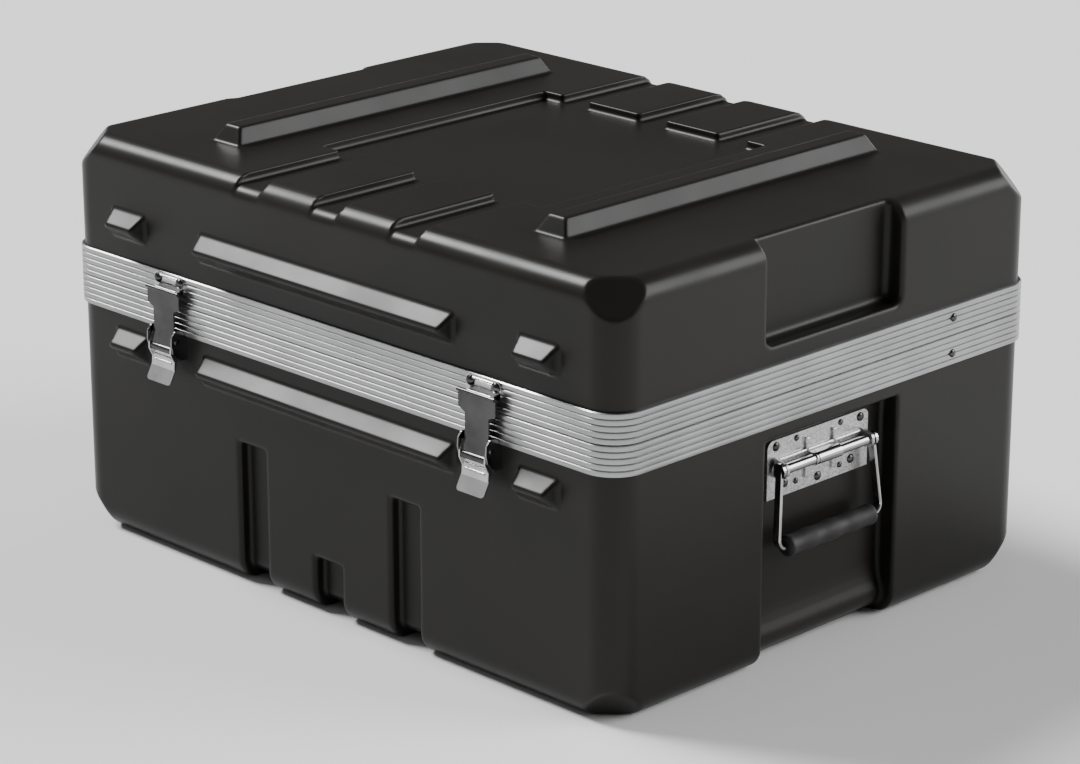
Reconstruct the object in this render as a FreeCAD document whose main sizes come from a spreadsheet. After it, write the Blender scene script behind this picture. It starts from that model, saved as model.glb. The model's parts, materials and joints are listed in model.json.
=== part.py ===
"""Equipment rack case: a moulded two-part case with a shock-mounted 19-inch frame inside.

Frame: X runs along the latch side, -Y is the latch side, +Z is up.
The origin is the middle of the flat underside that the case rests on. Millimetres.
"""

import FreeCAD, Part
import math
import os
import re

import Sketcher
from FreeCAD import Placement, Rotation, Vector

SIZES = {
    # moulded shells
    "case_length": 700,
    "case_width": 537,
    "case_height": 381,
    "wall": 5,
    "corner_radius": 29,
    "edge_radius": 20,
    "facet_reach": 51,
    "facet_drop": 45,
    "facet_round": 4,
    "parting": 246.6,
    "seam": 0.5,
    # lid: sunk panel, channels, stacking ribs, end pockets
    "panel_half_length": 141,
    "panel_half_width": 142,
    "panel_depth": 8,
    "channel_pitch": 100,
    "channel_width": 34,
    "channel_round": 12,
    "stack_rib_offset": 207,
    "stack_rib_base": 38,
    "stack_rib_top": 20,
    "stack_rib_length": 400,
    "stack_rib_height": 16,
    "stack_rib_bevel": 9,
    "pocket_half_width": 86,
    "pocket_depth": 18,
    "pocket_sill": 290,
    "hollow_round": 6,
    "lip_round": 4,
    "pad_round": 3,
    # front and rear ribs
    "rib_height": 27.3,
    "rib_strip": 3.2,
    "rib_stand": 15,
    "rib_bevel": 5,
    "rib_round": 2.5,
    "long_rib_half": 164,
    "short_rib_near": 240.7,
    "short_rib_far": 287.2,
    "lid_rib_level": 306.2,
    "base_rib_level": 191.7,
    # base: grooves, channels, handle recess
    "groove_depth": 11,
    "tall_groove": 134,
    "short_groove": 51.5,
    "under_channel_depth": 8,
    "under_channel_length": 126,
    "recess_top": 206.5,
    "recess_sweep_top": 54,
    "recess_sweep_setback": 7.5,
    "recess_sweep_depth": 4.5,
    "stack_clearance": 2,
    # valance
    "valance_half": 27.2,
    "valance_thick": 2,
    "valance_stand": 3.2,
    "valance_web": 5,
    "valance_lip": 12,
    "valance_lip_thick": 1.5,
    "valance_ridges": 5,
    "valance_groove": 0.7,
    "valance_crown": 0.2,
    "tongue_inset": 3,
    "tongue_width": 2.4,
    "tongue_length": 2.5,
    "tongue_slot_width": 3.6,
    "tongue_slot_depth": 3.4,
    "gasket_thick": 1,
    # draw latches
    "latch_offset": 203.5,
    "latch_sheet": 1.5,
    "cheek_inner": 16.1,
    "cheek_thick": 1.5,
    "lever_pivot_level": 216,
    "lever_pivot_reach": 12.5,
    "hasp_pin_level": 207,
    "hasp_pin_reach": 14.5,
    "hasp_half_neck": 14.1,
    "hasp_half_head": 22,
    "hasp_bend_level": 226,
    "hasp_shoulder_low": 242.5,
    "hasp_shoulder_high": 246.3,
    "hasp_top": 261,
    "hasp_stand": 10.9,
    "latch_pin_radius": 2,
    "pin_clearance": 0.05,
    "lever_arm_outer": 15.8,
    "lever_slope": 4,
    "lever_plate_start": 13.6,
    "lever_plate_end": 28,
    "lever_lip_half": 16.4,
    "lever_lip": 14,
    "lever_lip_slope": 28,
    "keeper_high": 15,
    "keeper_lip_reach": 5.5,
    # handles
    "handle_plate_half": 65.5,
    "handle_plate_low": 144.4,
    "handle_plate_high": 197.2,
    "handle_plate_thick": 2,
    "bail_radius": 3,
    "bail_pivot_reach": 343,
    "bail_pivot_level": 172.7,
    "bail_drop": 68,
    "bail_lean": 5,
    "bail_half_pivot": 60,
    "bail_half_grip": 67,
    "bail_bend": 8,
    "bail_leg_thick": 3,
    "bail_leg_deep": 8,
    "bail_eye_radius": 7,
    "ear_offset": 55.5,
    "ear_thick": 3,
    "tube_half": 53.5,
    "tube_radius": 4.6,
    "knuckle_half": 17,
    "knuckle_radius": 5.9,
    "grip_half": 57,
    "grip_radius": 9.8,
    # rear hinges
    "hinge_offset": 203.5,
    "hinge_axis_reach": 8,
    "hinge_pin_radius": 2,
    "hinge_barrel_radius": 4,
    "hinge_sheet": 1.5,
    "hinge_half": 30,
    "hinge_knuckle": 20,
    "hinge_gap": 0.4,
    # lid stays
    "stay_setback": 155.5,
    "stay_rise": 16.5,
    "stay_open_angle": 100,
    "stay_width": 12,
    "stay_thick": 2,
    "stay_gap": 0.6,
    "stay_rivet_radius": 2.5,
    # 19-inch frame
    "rack_units": 10,
    "rack_unit": 44.45,
    "rack_half_pitch": 232.55,
    "rack_half_opening": 225.3,
    "rack_half_outside": 242.5,
    "rack_edge_hole": 6.35,
    "rack_middle_hole": 22.225,
    "rack_hole_radius": 3,
    "rack_sheet": 2,
    "side_sheet": 3,
    "window_border": 36,
    "window_low": 88,
    "crossbar_half": 22,
    "rail_top": 236,
    "rail_height": 35,
    "tube": 25,
    "frame_low": 58,
    "mount_offset_x": 151.5,
    "mount_offset_y": 190,
    "mount_radius": 19,
    "mount_rubber_radius": 17,
    "mount_plate_thick": 2,
    "bolt_radius": 4,
}

DOC = FreeCAD.newDocument("rack_case")
NODES = []
X, Y, Z = 0, 1, 2
SIDES = {"left": -1, "right": 1}


class Cells:
    """The sheet's values as plain numbers, for shapes that Part's own functions make."""


def make_sheet():
    sheet = DOC.addObject("Spreadsheet::Sheet", "sizes")
    for row, (alias, value) in enumerate(SIZES.items(), start=1):
        sheet.set(f"A{row}", alias)
        sheet.set(f"B{row}", str(value))
        sheet.setAlias(f"B{row}", alias)
    DOC.recompute()
    for alias in SIZES:
        setattr(Cells, alias, float(getattr(sheet, alias)))
    return sheet


# ---------------------------------------------------------------- helpers


def cells(text):
    """A formula in which each size's name becomes a reference to its cell."""

    def refer(word):
        return f"sizes.{word.group()}" if word.group() in SIZES else word.group()

    return re.sub(r"[a-z][a-z_]*", refer, str(text))


def place(item, x, y, z):
    for axis, text in zip("xyz", (x, y, z)):
        item.setExpression(f"Placement.Base.{axis}", cells(text))


def block(name, x, y, z):
    """Box between two corners: each argument is a pair of formulas, low and high."""
    item = DOC.addObject("Part::Box", name)
    for prop, (low, high) in zip(("Length", "Width", "Height"), (x, y, z)):
        item.setExpression(prop, cells(f"({high}) - ({low})"))
    place(item, x[0], y[0], z[0])
    return item


def pair(middle, half):
    """Formulas for a span about a middle."""
    return f"{middle} - ({half})", f"{middle} + ({half})"


def rod(name, axis, start, radius, length):
    """Cylinder along an axis, from the middle of its low end."""
    item = DOC.addObject("Part::Cylinder", name)
    item.setExpression("Radius", cells(radius))
    item.setExpression("Height", cells(length))
    turn = {X: Rotation(Vector(0, 1, 0), 90), Y: Rotation(Vector(1, 0, 0), -90), Z: Rotation()}[axis]
    item.Placement = Placement(Vector(), turn)
    place(item, *start)
    return item


def wedge(name, base, top, height, turn, at):
    """Frustum with rectangular ends: base and top are (length, width), height along its own Y."""
    item = DOC.addObject("Part::Wedge", name)
    ends = {"X": base[0], "Z": base[1], "X2": top[0], "Z2": top[1]}
    for prop, span in ends.items():
        item.setExpression(f"{prop}min", cells(f"-({span}) / 2"))
        item.setExpression(f"{prop}max", cells(f"({span}) / 2"))
    item.Ymin = 0
    item.setExpression("Ymax", cells(height))
    item.Placement = Placement(Vector(), turn)
    place(item, *at)
    return item


def join(name, *items):
    item = DOC.addObject("Part::MultiFuse", name)
    item.Shapes = list(items)
    item.Refine = True
    return item


def cut(name, base, *tools):
    item = DOC.addObject("Part::Cut", name)
    item.Base = base
    item.Tool = tools[0] if len(tools) == 1 else join(name + "_tools", *tools)
    item.Refine = True
    return item


def overlap(name, base, tool):
    item = DOC.addObject("Part::Common", name)
    item.Base = base
    item.Tool = tool
    return item


def group(name, *items):
    item = DOC.addObject("Part::Compound", name)
    item.Links = list(items)
    return item


def mirror(name, source, axis):
    """The source's other hand, across the middle plane square to an axis."""
    item = DOC.addObject("Part::Mirroring", name)
    item.Source = source
    item.Normal = tuple(float(axis == each) for each in (X, Y, Z))
    return item


def solid(name, shape):
    """An object for a shape that Part's own functions made."""
    item = DOC.addObject("Part::Feature", name)
    item.Shape = shape
    return item


def soften(name, base, radius, picks):
    """Rounds the edges that a test picks."""
    DOC.recompute()
    chosen = [index for index, edge in enumerate(base.Shape.Edges, start=1) if picks(edge)]
    if not chosen:
        raise ValueError(f"{name}: no edge to round")
    item = DOC.addObject("Part::Fillet", name)
    item.Base = base
    item.Edges = [(index, radius, radius) for index in chosen]
    return item


def sketch_on(body, name, role, shapes):
    """Sketch on one of a body's own planes, held by constraints that read the sheet.

    A shape is a list of corners, or a circle as (across, up, radius); all are formulas.
    """
    sketch = body.newObject("Sketcher::SketchObject", name)
    plane = [part for part in body.Origin.OriginFeatures if part.Role == role][0]
    sketch.AttachmentSupport = [(plane, "")]
    sketch.MapMode = "FlatFace"

    def number(text):
        return float(body.evalExpression(cells(text)))

    def hold(*constraint, text):
        index = sketch.addConstraint(Sketcher.Constraint(*constraint, number(text)))
        sketch.setExpression(f"Constraints[{index}]", cells(text))

    for shape in shapes:
        first = sketch.GeometryCount
        if isinstance(shape, tuple):
            across, up, radius = shape
            middle = Vector(number(across), number(up), 0)
            sketch.addGeometry(Part.Circle(middle, Vector(0, 0, 1), number(radius)))
            hold("DistanceX", -1, 1, first, 3, text=across)
            hold("DistanceY", -1, 1, first, 3, text=up)
            hold("Radius", first, text=radius)
            continue
        corners = [Vector(number(across), number(up), 0) for across, up in shape]
        for start, end in zip(corners, corners[1:] + corners[:1]):
            sketch.addGeometry(Part.LineSegment(start, end))
        for step in range(len(shape)):
            after = first + (step + 1) % len(shape)
            sketch.addConstraint(Sketcher.Constraint("Coincident", first + step, 2, after, 1))
        for step, (across, up) in enumerate(shape):
            hold("DistanceX", -1, 1, first + step, 1, text=across)
            hold("DistanceY", -1, 1, first + step, 1, text=up)
    return sketch


def padded(name, role, shapes, length, midplane=False):
    """Body made of one sketch padded by a length."""
    body = DOC.addObject("PartDesign::Body", name)
    pad = body.newObject("PartDesign::Pad", f"{name}_pad")
    pad.Profile = sketch_on(body, f"{name}_sketch", role, shapes)
    pad.setExpression("Length", cells(length))
    pad.Midplane = midplane
    body.Tip = pad
    return body


def edge_points(edge):
    middle = (edge.FirstParameter + edge.LastParameter) / 2
    return [vertex.Point for vertex in edge.Vertexes] + [edge.valueAt(middle)]


def lies_at(axis, value):
    """Test for edges that lie in one plane square to an axis."""

    def test(edge):
        return all(abs(point[axis] - value) < 1e-3 for point in edge_points(edge))

    return test


def runs_along(axis):
    """Test for straight edges parallel to an axis."""

    def test(edge):
        if edge.Curve.TypeId != "Part::GeomLine":
            return False
        return abs(abs(edge.Curve.Direction[axis]) - 1) < 1e-6

    return test


def ends_on_base_skin(edge):
    """Test for edges whose ends are on the base's front, rear or underside."""

    def outside(point):
        return abs(abs(point.y) - Cells.case_width / 2) < 1e-3 or abs(point.z) < 1e-3

    return all(outside(vertex.Point) for vertex in edge.Vertexes)


def borders_facet(item):
    """Test for edges of the flats that slope three ways, one at each corner of the case."""
    DOC.recompute()
    flats = [face for face in item.Shape.Faces if face.Surface.TypeId == "Part::GeomPlane"]
    sloping = [face for face in flats if min(abs(part) for part in face.normalAt(0, 0)) > 0.1]
    borders = [edge for face in sloping for edge in face.Edges]
    return lambda edge: any(edge.isSame(border) for border in borders)


def all_of(*tests):
    return lambda edge: all(test(edge) for test in tests)


def within(low, high):
    """Test for edges that lie wholly inside a box."""

    def test(edge):
        return all(
            low[axis] - 1e-3 <= point[axis] <= high[axis] + 1e-3
            for point in edge_points(edge)
            for axis in (X, Y, Z)
        )

    return test


def node(name, item):
    """Names a finished sub-part."""
    item.Label = name
    NODES.append(item)
    return item


def face_of(points):
    """Flat face inside a closed outline."""
    return Part.Face(Part.makePolygon([Vector(*point) for point in points] + [Vector(*points[0])]))


def turned(profile, origin, axis):
    """Solid of revolution: the profile's points are (along the axis, radius)."""
    outline = face_of([(along, radius, 0) for along, radius in profile])
    body = outline.revolve(Vector(), Vector(1, 0, 0), 360)
    body.Placement = Placement(Vector(*origin), Rotation(Vector(1, 0, 0), Vector(*axis)))
    return body


def dome(radius, height, steps=6):
    """Points of a rounded head, from its rim to its crown, standing on the axis's zero."""
    turn = [math.pi / 2 * step / steps for step in range(steps + 1)]
    return [(height * math.sin(angle), radius * math.cos(angle)) for angle in turn]


def rivet(origin, axis, head, shank, grip, tail=0.0):
    """Domed rivet: its head stands on the origin along the axis, its shank goes the other way."""
    head_radius, head_height = head
    profile = dome(head_radius, head_height)[:-1] + [(head_height, 0)]
    ends = [(-grip, 0), (-grip, shank), (0, shank)]
    if tail:
        end, flare = -grip - tail, shank * 1.6
        ends = [(end, 0), (end, flare), (-grip, flare), (-grip, shank), (0, shank)]
    return turned(ends + profile, origin, axis)


# ---------------------------------------------------------------- moulded shells


def corner_facet(name, signs, inset):
    """Block whose one face cuts a corner off the case; signs point to that corner."""
    run, drop = Cells.facet_reach, Cells.facet_drop
    normal = Vector(signs[X] / run, signs[Y] / run, signs[Z] / drop).normalize()
    corner = Vector(signs[X] * Cells.case_length / 2, signs[Y] * Cells.case_width / 2, 0)
    corner.z = Cells.case_height if signs[Z] > 0 else 0
    on_plane = corner - Vector(signs[X] * run / 3, signs[Y] * run / 3, signs[Z] * drop / 3)
    item = DOC.addObject("Part::Box", name)
    side = 3 * run
    item.Length, item.Width, item.Height = side, side, side / 2
    centred = Placement(Vector(-side / 2, -side / 2, 0), Rotation())
    item.Placement = Placement(on_plane - normal * inset, Rotation(Vector(0, 0, 1), normal)) * centred
    return item


def moulded_block(name, inset):
    """The case's whole outline, or the same outline set in evenly by a wall."""
    block_x = pair("0", f"case_length / 2 - {inset}")
    block_y = pair("0", f"case_width / 2 - {inset}")
    raw = block(f"{name}_block", block_x, block_y, (f"{inset}", f"case_height - {inset}"))
    upright = soften(f"{name}_upright", raw, Cells.corner_radius - inset, runs_along(Z))
    top, bottom = lies_at(Z, Cells.case_height - inset), lies_at(Z, inset)
    edges = soften(f"{name}_edges", upright, Cells.edge_radius - inset, lambda e: top(e) or bottom(e))
    corners = [(x, y, z) for x in (-1, 1) for y in (-1, 1) for z in (-1, 1)]
    facets = [corner_facet(f"{name}_facet_{i}", signs, inset) for i, signs in enumerate(corners)]
    cornered = cut(name, edges, *facets)
    if inset:
        return cornered
    return soften(f"{name}_facets", cornered, Cells.facet_round, borders_facet(cornered))


def cross_section(name, points, x_low, x_high):
    """Prism along X from a closed outline in the YZ plane; a point may end an arc: (y, z, (mid y, mid z))."""
    edges = []
    for start, end in zip(points, points[1:] + points[:1]):
        first, last = Vector(x_low, start[0], start[1]), Vector(x_low, end[0], end[1])
        if len(end) == 3:
            middle = Vector(x_low, *end[2])
            edges.append(Part.Arc(first, middle, last).toShape())
        else:
            edges.append(Part.LineSegment(first, last).toShape())
    return solid(name, Part.Face(Part.Wire(edges)).extrude(Vector(x_high - x_low, 0, 0)))


def arc_middle(centre, radius, degrees):
    angle = math.radians(degrees)
    return centre[0] + radius * math.cos(angle), centre[1] + radius * math.sin(angle)


def channel(name, x_middle, wall):
    """Channel over the lid's front edge, running out into the front face."""
    half = Cells.channel_width / 2 + wall
    front = -Cells.case_width / 2 + wall
    top = Cells.case_height
    floor = top - Cells.panel_depth - wall
    bend = Cells.channel_round
    centre = (front + bend, floor - bend)
    outline = [
        (-Cells.panel_half_width + 1, top + 5),
        (-Cells.panel_half_width + 1, floor),
        (front + bend, floor),
        (front, floor - bend, arc_middle(centre, bend, 135)),
        (front - wall - 5, floor - bend),
        (front - wall - 5, top + 5),
    ]
    return cross_section(name, outline, x_middle - half, x_middle + half)


def both_ways(name, item):
    """A feature of the front and its twin at the rear."""
    return [item, mirror(f"{name}_rear", item, Y)]


def both_ends(name, item):
    """A feature of the right end and its twin at the left."""
    return [item, mirror(f"{name}_left", item, X)]


def lid_hollows(name, wall):
    """Everything sunk into the lid's outside, grown by the wall for the inside."""
    width = f"panel_half_width + {wall}"
    length = f"panel_half_length + {wall}"
    floor = f"case_height - panel_depth - {wall}"
    panel = block(f"{name}_panel", pair("0", length), pair("0", width), (floor, "case_height + 5"))
    hollows = [panel]
    for index in (-1, 0, 1):
        label = f"{name}_channel_{index + 1}"
        hollows += both_ways(label, channel(label, index * Cells.channel_pitch, wall))
    sill = f"pocket_sill - {wall}"
    pocket = block(
        f"{name}_pocket",
        (f"case_length / 2 - pocket_depth - {wall}", "case_length / 2 + 10"),
        pair("0", f"pocket_half_width + {wall}"),
        (sill, "case_height + 10"),
    )
    round_ = Cells.hollow_round
    sill_level = Cells.pocket_sill - wall
    corners = soften(
        f"{name}_pocket_corners",
        pocket,
        round_ + 2 + wall,
        lambda e: runs_along(X)(e) and lies_at(Z, sill_level)(e),
    )
    floor_x = Cells.case_length / 2 - Cells.pocket_depth - wall
    above = lies_at(Z, Cells.case_height + 10)
    pocket = soften(
        f"{name}_pocket_floor", corners, round_, lambda e: lies_at(X, floor_x)(e) and not above(e)
    )
    return hollows + both_ends(f"{name}_pocket", pocket)


def front_rib(name, x_middle, half, level):
    """Rib on the front face: a frustum lying on its back, with its crest rounded."""
    item = wedge(
        name,
        (f"2 * ({half})", "rib_height"),
        (f"2 * ({half}) - 2 * rib_bevel", "rib_strip"),
        "rib_stand",
        Rotation(Vector(0, 0, 1), 180),
        (x_middle, "-case_width / 2", level),
    )
    foot = lies_at(Y, -Cells.case_width / 2)
    return soften(f"{name}_round", item, Cells.rib_round, lambda e: not foot(e))


def rib_row(name, level):
    """A long rib between two short ones, on the front face and again on the rear."""
    short_half = "(short_rib_far - short_rib_near) / 2"
    short_middle = "(short_rib_far + short_rib_near) / 2"
    ribs = [front_rib(f"{name}_long", "0", "long_rib_half", level)]
    for side, sign in SIDES.items():
        ribs.append(front_rib(f"{name}_{side}", f"{sign} * {short_middle}", short_half, level))
    return [rib for each in ribs for rib in both_ways(each.Name, each)]


def stacking_rib(name, sign):
    """Long rib on top of the lid, which drops into the next case's underside."""
    item = wedge(
        name,
        ("stack_rib_base", "stack_rib_length"),
        ("stack_rib_top", "stack_rib_length - 2 * stack_rib_bevel"),
        "stack_rib_height",
        Rotation(Vector(1, 0, 0), 90),
        (f"{sign} * stack_rib_offset", "0", "case_height"),
    )
    foot = lies_at(Z, Cells.case_height)
    return soften(f"{name}_round", item, Cells.rib_round, lambda e: not foot(e))


def make_lid_shell():
    """Lid's moulding: a wall of even thickness under the sunk panel, channels and pockets."""
    rim = "parting + seam / 2 + valance_web"
    above = block("lid_zone", pair("0", "case_length"), pair("0", "case_width"), (rim, "case_height + 50"))
    outside = overlap("lid_outside", moulded_block("lid_form", 0), above)
    hollowed = cut("lid_hollowed", outside, *lid_hollows("lid_hollow", 0))
    pad_edges = all_of(runs_along(Z), within((-118, -143, 372), (118, 143, 382)))
    hollowed = soften("lid_pads", hollowed, Cells.pad_round, pad_edges)
    for side, sign in SIDES.items():
        rim_edges = lies_at(X, sign * Cells.case_length / 2)
        pocket_zone = within((-351, -90, 285), (351, 90, 362))
        hollowed = soften(f"lid_pocket_rim_{side}", hollowed, Cells.lip_round, all_of(rim_edges, pocket_zone))
    ribs = rib_row("lid_rib", "lid_rib_level") + [stacking_rib(f"lid_stack_{s}", n) for s, n in SIDES.items()]
    ribbed = join("lid_ribbed", hollowed, *ribs)
    inside = cut("lid_inside", moulded_block("lid_core", Cells.wall), *lid_hollows("lid_bump", Cells.wall))
    return cut("lid_shell_body", ribbed, inside)


def groove(name, x_middle, height, wall):
    """Groove up the base's front face that runs on as a channel under the base."""
    half = Cells.channel_width / 2 + wall
    front = -Cells.case_width / 2
    face = front + Cells.groove_depth + wall
    under = Cells.under_channel_depth + wall
    bend = Cells.channel_round
    centre = (face + bend, under + bend)
    end = front + Cells.under_channel_length + wall
    outline = [
        (front - 10, height + wall),
        (face, height + wall),
        (face, under + bend),
        (face + bend, under, arc_middle(centre, bend, 225)),
        (end, under),
        (end, -10),
        (front - 10, -10),
    ]
    return cross_section(name, outline, x_middle - half, x_middle + half)


def handle_recess(name, wall):
    """Recess behind the handle; its floor sweeps out, by two tangent arcs, along the base's bottom edge."""
    half = Cells.pocket_half_width + wall
    face = Cells.case_length / 2
    floor = face - Cells.pocket_depth - wall
    edge = Cells.edge_radius
    low_centre = (face - edge - Cells.recess_sweep_setback, edge)
    low = edge - Cells.recess_sweep_depth - wall
    reach = floor - low_centre[0]
    rise = Cells.recess_sweep_top - edge
    high = (reach**2 + rise**2 - low**2) / (2 * (low - reach))
    high_centre = (floor + high, Cells.recess_sweep_top)
    slope = math.degrees(math.atan2(rise, reach + high))
    meeting = arc_middle(low_centre, low, slope)
    # The profile is drawn in the YZ plane as (reach, level) and then turned to face the end.
    outline = [
        (face + 10, Cells.recess_top + wall),
        (floor, Cells.recess_top + wall),
        (floor, Cells.recess_sweep_top),
        (*meeting, arc_middle(high_centre, high, 180 + slope / 2)),
        (low_centre[0], edge - low, arc_middle(low_centre, low, (slope - 90) / 2)),
        (low_centre[0], -10),
        (face + 10, -10),
    ]
    item = cross_section(name, outline, -half, half)
    item.Placement = Placement(Vector(), Rotation(Vector(0, 0, 1), -90))
    return item


def base_hollows(name, wall):
    """Everything sunk into the base's outside, grown by the wall for the inside."""
    hollows = []
    heights = {-1: Cells.tall_groove, 0: Cells.short_groove, 1: Cells.tall_groove}
    for index, height in heights.items():
        label = f"{name}_groove_{index + 1}"
        hollows += both_ways(label, groove(label, index * Cells.channel_pitch, height, wall))
    for side, sign in SIDES.items():
        depth = f"stack_rib_height + stack_clearance + {wall}"
        half = f"stack_rib_base / 2 + stack_clearance + {wall}"
        length = f"stack_rib_length / 2 + stack_clearance + {wall}"
        middle = f"{sign} * stack_rib_offset"
        hollows.append(block(f"{name}_stack_{side}", pair(middle, half), pair("0", length), ("-5", depth)))
    recess = handle_recess(f"{name}_recess", wall)
    return hollows + both_ends(f"{name}_recess", recess)


def make_base_shell():
    """Base's moulding, with the same wall all round."""
    rim = "parting - seam / 2 - valance_web"
    below = block("base_zone", pair("0", "case_length"), pair("0", "case_width"), ("-5", rim))
    outside = overlap("base_outside", moulded_block("base_form", 0), below)
    hollowed = cut("base_hollowed", outside, *base_hollows("base_hollow", 0))
    for side, sign in {"front": -1, "rear": 1}.items():
        low, high = sorted((sign * 141, sign * Cells.case_width / 2))
        zone = within((-118, low, -1), (118, high, Cells.tall_groove))
        hollowed = soften(f"base_grooves_{side}", hollowed, Cells.lip_round, all_of(zone, ends_on_base_skin))
    zone = within((-234, -203, -1), (234, 203, 1))
    apart = within((-180, -203, -1), (180, 203, 1))
    stack_edges = all_of(zone, lies_at(Z, 0), lambda e: not apart(e))
    hollowed = soften("base_stack_rims", hollowed, Cells.pad_round, stack_edges)
    ribbed = join("base_ribbed", hollowed, *rib_row("base_rib", "base_rib_level"))
    core = moulded_block("base_core", Cells.wall)
    inside = cut("base_inside", core, *base_hollows("base_bump", Cells.wall))
    return cut("base_shell_body", ribbed, inside)


# ---------------------------------------------------------------- valance and gasket


def ring(name, profile, inset):
    """Band swept round the case; the profile is in the XZ plane at the middle of the right end."""
    x, y = Cells.case_length / 2 - inset, Cells.case_width / 2 - inset
    radius = Cells.corner_radius - inset
    level = Cells.parting
    edges = []
    start = Vector(x, 0, level)
    for sx, sy in ((1, 1), (-1, 1), (-1, -1), (1, -1)):
        centre = Vector(sx * (x - radius), sy * (y - radius), level)
        first = Vector(sx, 0, 0) if sx == sy else Vector(0, sy, 0)
        last = Vector(0, sy, 0) if sx == sy else Vector(sx, 0, 0)
        middle = (first + last).normalize()
        corner = [centre + direction * radius for direction in (first, middle, last)]
        edges.append(Part.LineSegment(start, corner[0]).toShape())
        edges.append(Part.Arc(*corner).toShape())
        start = corner[-1]
    edges.append(Part.LineSegment(start, Vector(x, 0, level)).toShape())
    return solid(name, Part.Wire(edges).makePipeShell([profile], True, True))


def valance_profile(sign):
    """Section of one valance, as (out from the shell, away from the parting line).

    The base's has a slot for the gasket, and the lid's a tongue; both grip the shell's rim.
    """
    stand, thick = Cells.valance_stand, Cells.valance_thick
    lip, lip_thick = Cells.valance_lip, Cells.valance_lip_thick
    wall, web, half = Cells.wall, Cells.valance_web, Cells.valance_half
    inner = -wall - lip_thick
    middle = -Cells.tongue_inset
    if sign < 0:
        reach, depth = Cells.tongue_slot_width / 2, Cells.tongue_slot_depth
    else:
        reach, depth = Cells.tongue_width / 2, -Cells.tongue_length
    points = [
        (thick, half),
        (0, half),
        (0, web),
        (-wall, web),
        (-wall, lip),
        (inner, lip),
        (inner, 0),
        (middle - reach, 0),
        (middle - reach, depth),
        (middle + reach, depth),
        (middle + reach, 0),
        (thick, 0),
    ]

    def at(point):
        level = Cells.parting + sign * (Cells.seam / 2 + point[1])
        return Vector(Cells.case_length / 2 + point[0], 0, level)

    edges = [Part.LineSegment(at(a), at(b)).toShape() for a, b in zip(points, points[1:])]
    pitch = half / Cells.valance_ridges
    groove, shoulder = Cells.valance_groove, stand - Cells.valance_crown
    for index in range(int(Cells.valance_ridges)):
        low, high = index * pitch, (index + 1) * pitch
        first, last = at((shoulder, low + groove)), at((shoulder, high - groove))
        edges.append(Part.LineSegment(at((thick, low)), first).toShape())
        edges.append(Part.Arc(first, at((stand, (low + high) / 2)), last).toShape())
        edges.append(Part.LineSegment(last, at((thick, high))).toShape())
    return Part.Wire(Part.sortEdges(edges)[0])


def gasket_profile():
    """Flat strip in the bottom of the base valance's slot."""
    top = Cells.parting - Cells.seam / 2 - Cells.tongue_slot_depth + Cells.gasket_thick
    middle = Cells.case_length / 2 - Cells.tongue_inset
    half = Cells.tongue_slot_width / 2 - 0.1
    low = top - Cells.gasket_thick
    corners = [(middle - half, low), (middle + half, low), (middle + half, top), (middle - half, top)]
    return Part.makePolygon([Vector(x, 0, z) for x, z in corners + corners[:1]])


# ---------------------------------------------------------------- draw latches


def extruded(name, points, thickness, turn, at):
    """Plate from a closed outline in its own XY plane, then turned and moved into place."""
    item = solid(name, face_of([(*point, 0) for point in points]).extrude(Vector(0, 0, thickness)))
    item.Placement = Placement(Vector(*at), turn)
    return item


ACROSS = Rotation(Vector(0, 0, 1), 90) * Rotation(Vector(1, 0, 0), 90)
FRONT = Rotation(Vector(1, 0, 0), 90)


def side_plate(name, points, x_low, thickness):
    """Plate square to X from an outline of (y, z) points."""
    return extruded(name, points, thickness, ACROSS, (x_low, 0, 0))


def latch_levels():
    """Front face, lever pivot and hasp pin as (y, z)."""
    face = -Cells.case_width / 2
    pivot = (face - Cells.lever_pivot_reach, Cells.lever_pivot_level)
    pin = (face - Cells.hasp_pin_reach, Cells.hasp_pin_level)
    return face, pivot, pin


def latch_rivets(middle):
    """Rivets of one latch: through the bracket and the base, and through the keeper and the lid."""
    face = -Cells.case_width / 2
    front = (0, -1, 0)
    sheet = Cells.latch_sheet
    through = sheet + Cells.wall
    places = [(x, level) for x in (-9, 9) for level in (201, 213)]
    bracket = [rivet((middle + x, face - sheet, z), front, (3, 1.5), 1.8, through, 1) for x, z in places]
    stand = Cells.valance_stand + sheet
    level = Cells.parting + Cells.valance_half - 5.5
    keeper = [
        rivet((middle + x, face - stand, level), front, (4.7, 3), 2, stand + Cells.wall, 1) for x in (-15, 15)
    ]
    return bracket, keeper


def make_keeper(name, middle, rivets):
    """Plate on the lid's valance, with the lip that the hasp draws down on."""
    face = -Cells.case_width / 2 - Cells.valance_stand
    sheet = Cells.latch_sheet
    top = Cells.parting + Cells.valance_half
    plate = block(f"{name}_plate", pair(middle, "20.5"), (face - sheet, face), (top - Cells.keeper_high, top))
    rounded = soften(f"{name}_corners", plate, 4.5, runs_along(Y))
    edge = face - sheet - Cells.keeper_lip_reach
    lip = block(f"{name}_lip", pair(middle, "14"), (edge, face), (top - 13.4, top - 11.8))
    lip = soften(f"{name}_lip_edge", lip, 0.7, all_of(runs_along(X), lies_at(Y, edge)))
    bead = rod(f"{name}_bead", X, (middle - 12, face - sheet, top - 2.5), "1.3", "24")
    return cut(f"{name}_body", join(f"{name}_joined", rounded, lip, bead), rivets)


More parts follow.
